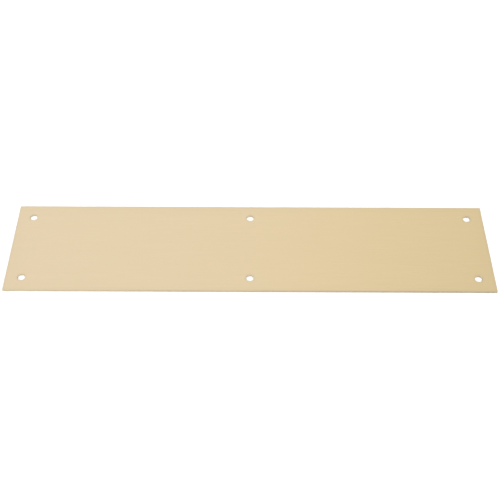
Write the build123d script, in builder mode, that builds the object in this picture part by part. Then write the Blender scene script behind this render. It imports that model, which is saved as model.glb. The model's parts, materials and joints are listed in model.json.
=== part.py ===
from build123d import *
import os

# A kick plate: one flat sheet of satin brass with six screw holes, which is screwed over the face
# of a door to take knocks and scuffs. It has no folds, no moving parts and no inner parts.
#
# The plate lies on its mounting face. The origin is the middle of that face, +X runs along the
# plate's length, +Y across its width, and +Z points out of the face that shows on the door.
# All sizes are in millimetres.

# Driving dimensions
plate_length = 381.0  # 15 in, along X
plate_width = 88.9  # 3 1/2 in, along Y
sheet_thickness = 1.5875  # 1/16 in, along Z
hole_diameter = 6.0  # passes a No. 10 or No. 12 wood screw
hole_inset = 12.7  # 1/2 in, from each edge to the centre of a corner hole
holes_along = 3  # one at each end and one in the middle
holes_across = 2  # one row along each long edge

# What cutting and finishing the sheet leave behind
corner_radius = 0.4  # the four corners are sheared square and only just knocked off
face_roll = 0.2  # shear and punch pull the show face over a little at the outline and the holes
back_break = 0.1  # the burr is taken off every edge of the mounting face

# Distances between neighbouring hole centres
pitch_along = (plate_length - 2 * hole_inset) / (holes_along - 1)
pitch_across = (plate_width - 2 * hole_inset) / (holes_across - 1)

with BuildPart() as plate:
    # The blank, sheared from flat sheet
    with BuildSketch(Plane.XY):
        RectangleRounded(plate_length, plate_width, corner_radius)
        # The screw holes, punched straight through
        with GridLocations(pitch_along, pitch_across, holes_along, holes_across):
            Circle(hole_diameter / 2, mode=Mode.SUBTRACT)
    extrude(amount=sheet_thickness)

    # The show face, rolled over at the outline and at each hole's rim
    fillet(plate.faces().sort_by(Axis.Z)[-1].edges(), radius=face_roll)

    # The mounting face, with the burr taken off the same edges
    chamfer(plate.faces().sort_by(Axis.Z)[0].edges(), length=back_break)

plate.part.label = "plate"

os.makedirs("parts", exist_ok=True)
export_step(plate.part, "parts/plate.step")

print(f"plate: {plate.part.volume:.1f} mm3, holes {pitch_along:.2f} x {pitch_across:.2f} mm apart")
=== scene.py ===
import json
import math

import bpy
from mathutils import Matrix, Vector

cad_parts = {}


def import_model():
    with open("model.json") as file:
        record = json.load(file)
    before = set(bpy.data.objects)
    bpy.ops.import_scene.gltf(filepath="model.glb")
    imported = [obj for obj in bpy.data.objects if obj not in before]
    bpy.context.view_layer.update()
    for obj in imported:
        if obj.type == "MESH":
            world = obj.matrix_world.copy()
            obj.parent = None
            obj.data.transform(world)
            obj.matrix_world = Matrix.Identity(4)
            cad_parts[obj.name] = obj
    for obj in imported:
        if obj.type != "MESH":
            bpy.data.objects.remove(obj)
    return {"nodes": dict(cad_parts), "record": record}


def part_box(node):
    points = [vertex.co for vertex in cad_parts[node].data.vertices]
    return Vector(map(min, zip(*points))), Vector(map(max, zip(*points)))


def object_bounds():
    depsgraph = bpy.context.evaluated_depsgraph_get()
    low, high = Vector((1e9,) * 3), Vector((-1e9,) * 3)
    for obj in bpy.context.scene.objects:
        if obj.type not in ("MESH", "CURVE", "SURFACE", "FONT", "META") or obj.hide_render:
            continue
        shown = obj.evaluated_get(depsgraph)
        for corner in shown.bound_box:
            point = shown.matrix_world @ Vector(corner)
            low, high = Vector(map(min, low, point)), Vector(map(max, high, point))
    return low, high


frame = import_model()
cad_low, cad_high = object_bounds()
plate_low, plate_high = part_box("plate")

MM = 0.001

# The camera, where the photographer stood: in front of the plate's long edge and above it
SENSOR_WIDTH = 36.0  # mm
CAMERA_LENS = 67.68  # mm
CAMERA_ELEVATION = 48.83  # degrees above the floor
CAMERA_AZIMUTH = 0.13
CAMERA_ROLL = 0.13
CAMERA_DISTANCE = 751.5 * MM
CAMERA_AIM = Vector((-0.03, -1.48, 0.0)) * MM  # from the middle of the mounting face

# The screw holes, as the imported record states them: a row of three along each long edge
corner_holes = next(m["dims"] for m in frame["record"]["mounts"] if m["name"] == "corner_screw_holes")
HOLE_RADIUS = corner_holes["hole_r_mm"] * MM
HOLE_PITCH = corner_holes["spacing_x_mm"] * MM / 2  # from one hole to the next in its row
HOLE_ROW = corner_holes["spacing_y_mm"] * MM / 2  # from the plate's middle line to a row


# ---------------------------------------------------------------- node helpers


class Tree:
    """A small way to write node trees: sockets, numbers and tuples all serve as inputs.

    A colour is three numbers.
    """

    def __init__(self, tree):
        self.tree = tree

    def node(self, kind, inputs=(), **settings):
        made = self.tree.nodes.new(kind)
        for name, value in settings.items():
            setattr(made, name, value)
        for key, value in dict(inputs).items():
            self.feed(made.inputs[key], value)
        return made

    def feed(self, socket, value):
        if isinstance(value, bpy.types.NodeSocket):
            self.tree.links.new(value, socket)
        elif socket.type == "RGBA":
            socket.default_value = (*value, 1.0)
        else:
            socket.default_value = value

    def math(self, operation, *values):
        made = self.node("ShaderNodeMath", operation=operation)
        for socket, value in zip(made.inputs, values):
            self.feed(socket, value)
        return made.outputs[0]

    def add(self, *values):
        total = values[0]
        for value in values[1:]:
            total = self.math("ADD", total, value)
        return total

    def less(self, a, b):
        return self.math("SUBTRACT", a, b)

    def times(self, a, b):
        return self.math("MULTIPLY", a, b)

    def size(self, value):
        return self.math("ABSOLUTE", value)

    def remap(self, value, low, high, to_low=0.0, to_high=1.0, smooth=False):
        made = self.node(
            "ShaderNodeMapRange",
            {"Value": value, "From Min": low, "From Max": high, "To Min": to_low, "To Max": to_high},
            interpolation_type="SMOOTHSTEP" if smooth else "LINEAR",
        )
        return made.outputs["Result"]

    def toned(self, colour, tone):
        return self.node("ShaderNodeVectorMath", {0: colour, "Scale": tone}, operation="SCALE").outputs[0]

    def blend(self, share, a, b):
        """Between two numbers."""
        return self.node("ShaderNodeMix", {"Factor": share, "A": a, "B": b}).outputs[0]

    def mix(self, share, a, b):
        """Between two colours."""
        made = self.node("ShaderNodeMix", data_type="RGBA")
        for name, value in (("Factor_Float", share), ("A_Color", a), ("B_Color", b)):
            socket = next(s for s in made.inputs if s.identifier == name)
            self.feed(socket, value)
        return next(s for s in made.outputs if s.identifier == "Result_Color")

    def noise(self, place, features, seed, detail=2.0, rough=0.5):
        """Noise with its own number of features per metre along X, Y and Z."""
        stretched = self.node("ShaderNodeVectorMath", {0: place, 1: features}, operation="MULTIPLY")
        made = self.node(
            "ShaderNodeTexNoise",
            {"Vector": stretched.outputs[0], "W": seed, "Scale": 1.0, "Detail": detail, "Roughness": rough},
            noise_dimensions="4D",
        )
        return made.outputs["Fac"]


def new_material(name):
    material = bpy.data.materials.new(name)
    material.use_nodes = True
    material.node_tree.nodes.clear()
    return material, Tree(material.node_tree)


# ---------------------------------------------------------------- the brass

FACE_BRASS = (0.80, 0.64, 0.395)
RIM_BRASS = (0.752, 0.612, 0.388)
# The cut's two brasses are darker than the face: the torn metal is duller in its own colour, and painted
# shade darkens both, for the shade that falls on the cut beside the floor and on the walls of the holes
SHADED_BURNISHED_BRASS = (0.70, 0.58, 0.37)
SHADED_TORN_BRASS = (0.56, 0.465, 0.30)
BACK_BRASS = (0.66, 0.51, 0.30)

# Where one kind of surface gives way to the next, as the share of its normal that points up or down
SIDEWAYS, LEVEL = 0.75, 0.97

# Features per metre along X, Y and Z: the brushing and the rolling marks run along the plate
FINE_BRUSHING = (36.0, 4200.0, 4200.0)
MEDIUM_BRUSHING = (12.0, 700.0, 700.0)
BROAD_BRUSHING = (4.0, 110.0, 110.0)
SHEAR_MARKS = (1900.0, 1900.0, 120.0)
TEAR_WAVES = (260.0, 260.0, 0.0)
ROLLING_MARKS = (5.0, 380.0, 380.0)
STAINS = (22.0, 22.0, 22.0)

# Nearly all the values of a noise lie between these
NOISE_SPAN = (0.3, 0.7)
SHEAR_SPAN = (0.25, 0.75)  # the shear marks are rougher

# The show face
MEDIUM_SHARE, BROAD_SHARE = 0.14, 0.10  # of the fine brushing's strength
GRAIN_SPAN = 0.25  # the grain lies between minus this and this
FACE_TONES = (0.97, 1.03)
FACE_ROUGHNESS = (0.33, 0.27)
OUTLINE_TONE, OUTLINE_FADE = 0.985, 11.0 * MM
RIM_START, RIM_END = 0.3 * MM, 1.9 * MM  # in from the outline or a hole

# The cuts
TEAR_HEIGHTS = (0.34, 0.60)  # as shares of the sheet's thickness
TEAR_SOFTNESS = 0.06
CUT_TONES = (0.86, 1.10)
CUT_ROUGHNESS = (0.46, 0.28)  # torn, burnished
SHEAR_ROUGHNESS = 0.12
OUTLINE_PAINTED_SHADING = (1.04, 0.68)  # painted shading on the outline's cut: its tone at the plate's left end, lit, and at its right end, in shade
# the same painted shading, weaker, on the walls of the holes
HOLE_PAINTED_SHADING = (1.02, 0.86)
HOLE_CUT_START, HOLE_CUT_END = 1.0 * MM, 2.0 * MM  # from a hole's wall, where its own cut stops

# The back
ROLLING_SHARE, STAIN_SHARE = 0.6, 0.4
BACK_TONES = (0.86, 1.08)
BACK_ROUGHNESS = (0.38, 0.52)

CUT_RELIEF, BACK_RELIEF = 2.0, 0.8  # beside the face's relief, which is 1
RELIEF_STRENGTH, RELIEF_DEPTH = 0.4, 0.02 * MM
ANISOTROPY = 0.5
LACQUER_WEIGHT, LACQUER_ROUGHNESS, LACQUER_IOR = 0.5, 0.12, 1.5


def gaps(t, x, y):
    """How far a point is in from the outline, and how far from the middle of the nearest hole."""
    inside = t.math("MINIMUM", t.less(plate_high.x, t.size(x)), t.less(plate_high.y, t.size(y)))

    # folded about its middle, and again half-way to its end, a row has all its holes in one place
    along = t.less(t.size(t.less(t.size(x), HOLE_PITCH / 2)), HOLE_PITCH / 2)
    across = t.less(t.size(y), HOLE_ROW)
    from_hole = t.math("SQRT", t.add(t.times(along, along), t.times(across, across)))
    return inside, from_hole


def show_face(t, place, inside, from_hole):
    """Fine brushing, which merges into a satin sheen from further away.

    It is a little uneven over millimetres and centimetres, and the face is slightly darker towards
    its outline, and darker again at every rim.
    """
    fine = t.noise(place, FINE_BRUSHING, seed=1.0, rough=0.7)
    medium = t.noise(place, MEDIUM_BRUSHING, seed=2.0)
    broad = t.noise(place, BROAD_BRUSHING, seed=3.0)
    grain = t.add(
        t.less(fine, 0.5),
        t.times(t.less(medium, 0.5), MEDIUM_SHARE),
        t.times(t.less(broad, 0.5), BROAD_SHARE),
    )
    tone = t.times(
        t.remap(grain, -GRAIN_SPAN, GRAIN_SPAN, *FACE_TONES),
        t.remap(inside, 0.0, OUTLINE_FADE, OUTLINE_TONE, 1.0),
    )
    to_rim = t.math("MINIMUM", inside, t.less(from_hole, HOLE_RADIUS))
    colour = t.mix(t.remap(to_rim, RIM_START, RIM_END, smooth=True), RIM_BRASS, FACE_BRASS)
    rough = t.remap(grain, -GRAIN_SPAN, GRAIN_SPAN, *FACE_ROUGHNESS)
    return t.toned(colour, tone), rough, grain


def cut(t, place, x, z, from_hole):
    """The cut edge: shear and punch burnish the top of it and tear the rest off.

    Painted shading makes it lighter at the plate's left end and darker towards its right end, but less so
    in the holes.
    """
    shear = t.noise(place, SHEAR_MARKS, seed=4.0, rough=0.6)
    waves = t.noise(place, TEAR_WAVES, seed=8.0, detail=3.0, rough=0.6)
    tear_line = t.remap(waves, *NOISE_SPAN, *TEAR_HEIGHTS)
    above_tear = t.less(t.math("DIVIDE", z, plate_high.z), tear_line)
    burnished = t.remap(above_tear, -TEAR_SOFTNESS, TEAR_SOFTNESS, smooth=True)

    on_outline = t.remap(from_hole, HOLE_RADIUS + HOLE_CUT_START, HOLE_RADIUS + HOLE_CUT_END)
    # painted shading along the plate: lit at the left end, in shade at the right, with a weaker slope on
    # the hole walls
    painted_shading = t.blend(
        on_outline,
        t.remap(x, plate_low.x, plate_high.x, *HOLE_PAINTED_SHADING),
        t.remap(x, plate_low.x, plate_high.x, *OUTLINE_PAINTED_SHADING),
    )
    tone = t.times(t.remap(shear, *SHEAR_SPAN, *CUT_TONES), painted_shading)
    colour = t.mix(burnished, t.toned(SHADED_TORN_BRASS, tone), t.toned(SHADED_BURNISHED_BRASS, tone))
    rough = t.add(t.remap(burnished, 0.0, 1.0, *CUT_ROUGHNESS), t.times(shear, SHEAR_ROUGHNESS))
    return colour, rough, t.times(shear, CUT_RELIEF)


def back_face(t, place):
    """The metal as it came from the rolls, with faint stains from handling."""
    rolled = t.noise(place, ROLLING_MARKS, seed=5.0, detail=3.0, rough=0.6)
    stain = t.noise(place, STAINS, seed=6.0, detail=4.0, rough=0.55)
    marks = t.add(t.times(rolled, ROLLING_SHARE), t.times(stain, STAIN_SHARE))
    colour = t.toned(BACK_BRASS, t.remap(marks, *NOISE_SPAN, *BACK_TONES))
    return colour, t.remap(stain, *NOISE_SPAN, *BACK_ROUGHNESS), t.times(rolled, BACK_RELIEF)


def brass():
    """Brass sheet: a brushed show face, sheared edges and a mill finish behind, all thinly lacquered."""
    material, t = new_material("satin_brass")
    place = t.node("ShaderNodeTexCoord").outputs["Object"]
    x, y, z = t.node("ShaderNodeSeparateXYZ", {0: place}).outputs
    normal = t.node("ShaderNodeNewGeometry").outputs["Normal"]
    up = t.node("ShaderNodeSeparateXYZ", {0: normal}).outputs["Z"]
    on_face = t.remap(up, SIDEWAYS, LEVEL, smooth=True)
    on_back = t.remap(up, -SIDEWAYS, -LEVEL, smooth=True)
    inside, from_hole = gaps(t, x, y)

    face = show_face(t, place, inside, from_hole)
    edge = cut(t, place, x, z, from_hole)
    back = back_face(t, place)
    colour = t.mix(on_back, t.mix(on_face, edge[0], face[0]), back[0])
    rough = t.blend(on_back, t.blend(on_face, edge[1], face[1]), back[1])
    relief = t.blend(on_back, t.blend(on_face, edge[2], face[2]), back[2])

    bump = t.node(
        "ShaderNodeBump", {"Strength": RELIEF_STRENGTH, "Distance": RELIEF_DEPTH, "Height": relief}
    )
    across_brushing = t.node("ShaderNodeCombineXYZ", {"Y": 1.0})
    shader = t.node(
        "ShaderNodeBsdfPrincipled",
        {
            "Base Color": colour,
            "Metallic": 1.0,
            "Roughness": rough,
            "Normal": bump.outputs[0],
            "Tangent": across_brushing.outputs[0],
            "Anisotropic": ANISOTROPY,
            "Coat Weight": LACQUER_WEIGHT,
            "Coat Roughness": LACQUER_ROUGHNESS,
            "Coat IOR": LACQUER_IOR,
        },
    )
    t.node("ShaderNodeOutputMaterial", {"Surface": shader.outputs[0]})
    return material


# ---------------------------------------------------------------- floor, light, camera

FLOOR_SIZE = 60.0
FLOOR_GREY = (0.5, 0.5, 0.5)

# What the brass reflects: the walls of a white studio, by the compass. 0 is straight behind the
# plate and 90 is to its right. Behind the plate they go from cool daylight to warm lamplight.
# Soft boxes stand at the other corners of the room, and the wall between them is dimmer, and warm
# at the two sides.
STUDIO = (
    (-180, (0.74, 0.74, 0.74)),
    (-150, (0.72, 0.72, 0.72)),
    (-128, (1.10, 1.10, 1.10)),
    (-108, (0.86, 0.85, 0.82)),
    (-85, (0.95, 0.92, 0.86)),
    (-64, (1.12, 1.13, 1.15)),
    (-54, (1.10, 1.11, 1.14)),
    (-37, (0.80, 0.81, 0.87)),
    (-25, (1.03, 1.05, 1.15)),
    (-12, (1.00, 1.015, 1.08)),
    (0, (0.99, 1.00, 1.025)),
    (12, (0.965, 0.95, 0.885)),
    (24, (0.85, 0.83, 0.725)),
    (38, (0.74, 0.71, 0.64)),
    (55, (1.08, 1.06, 1.02)),
    (80, (0.93, 0.90, 0.84)),
    (108, (0.84, 0.83, 0.80)),
    (128, (1.12, 1.12, 1.12)),
    (150, (0.62, 0.62, 0.62)),
    (180, (0.74, 0.74, 0.74)),
)
HORIZON_LEVEL = 0.80  # of the walls' brightness, where they meet the floor
HORIZON_TOP = 0.35  # the height, as the sine of the angle, where the walls reach full brightness
PAPER_WHITE = (1.0, 1.0, 1.0)
PAPER_LEVEL = 1.06  # just over white, so that the backdrop has no grey specks

FILL_ELEVATION = 56.0
FILL_SPREAD = 50.0
FILL_STRENGTH = 5.6


def floor():
    material, t = new_material("floor")
    shader = t.node(
        "ShaderNodeBsdfPrincipled",
        {"Base Color": FLOOR_GREY, "Roughness": 1.0, "Specular IOR Level": 0.0},
    )
    t.node("ShaderNodeOutputMaterial", {"Surface": shader.outputs[0]})
    bpy.ops.mesh.primitive_plane_add(size=FLOOR_SIZE, location=(0, 0, cad_low.z))
    sheet = bpy.context.object
    sheet.name = "floor"
    sheet.data.materials.append(material)


def world():
    """The studio as the brass sees it, and plain white paper as the camera sees it."""
    made = bpy.data.worlds.new("studio")
    bpy.context.scene.world = made
    made.use_nodes = True
    made.node_tree.nodes.clear()
    t = Tree(made.node_tree)
    place = t.node("ShaderNodeTexCoord").outputs["Generated"]
    x, y, z = t.node("ShaderNodeSeparateXYZ", {0: place}).outputs
    # once round the compass is from 0 to 1, with 0.5 straight behind the plate
    turn = t.math("MULTIPLY_ADD", t.math("ARCTAN2", x, y), 0.5 / math.pi, 0.5)
    walls = t.node("ShaderNodeValToRGB", {"Fac": turn})
    stops = walls.color_ramp.elements
    while len(stops) < len(STUDIO):
        stops.new(0.5)
    for stop, (angle, colour) in zip(stops, STUDIO):
        stop.position = angle / 360 + 0.5
        stop.color = (*colour, 1.0)
    level = t.remap(z, 0.0, HORIZON_TOP, HORIZON_LEVEL, 1.0, smooth=True)
    mirrored = t.node("ShaderNodeBackground", {"Color": walls.outputs["Color"], "Strength": level})
    paper = t.node("ShaderNodeBackground", {"Color": PAPER_WHITE, "Strength": PAPER_LEVEL})
    by_camera = t.node("ShaderNodeLightPath").outputs["Is Camera Ray"]
    shown = t.node("ShaderNodeMixShader", {0: by_camera, 1: mirrored.outputs[0], 2: paper.outputs[0]})
    t.node("ShaderNodeOutputWorld", {"Surface": shown.outputs[0]})


def fill_light():
    """A broad light from above the camera, which keeps the floor white right up to the plate.

    It is a wide sun, so it doesn't fall off across the floor. The brass doesn't mirror it.
    """
    data = bpy.data.lights.new("fill", "SUN")
    data.angle = math.radians(FILL_SPREAD)
    data.energy = FILL_STRENGTH
    made = bpy.data.objects.new("fill", data)
    bpy.context.scene.collection.objects.link(made)
    made.rotation_euler = (math.radians(90 - FILL_ELEVATION), 0, math.radians(CAMERA_AZIMUTH))
    made.visible_glossy = False


def camera():
    data = bpy.data.cameras.new("camera")
    data.sensor_width = SENSOR_WIDTH
    data.lens = CAMERA_LENS
    data.clip_start, data.clip_end = 0.01, 100.0
    made = bpy.data.objects.new("camera", data)
    bpy.context.scene.collection.objects.link(made)
    azimuth, elevation = math.radians(CAMERA_AZIMUTH), math.radians(CAMERA_ELEVATION)
    flat = math.cos(elevation)
    back = Vector((math.sin(azimuth) * flat, -math.cos(azimuth) * flat, math.sin(elevation)))
    roll = Matrix.Rotation(math.radians(CAMERA_ROLL), 3, "Z").to_quaternion()
    made.rotation_mode = "QUATERNION"
    made.rotation_quaternion = back.to_track_quat("Z", "Y") @ roll
    made.location = CAMERA_AIM + back * CAMERA_DISTANCE
    bpy.context.scene.camera = made


plate = frame["nodes"]["plate"]
plate.data.materials.clear()
plate.data.materials.append(brass())

floor()
world()
fill_light()
camera()
bpy.context.scene.view_settings.view_transform = "Standard"
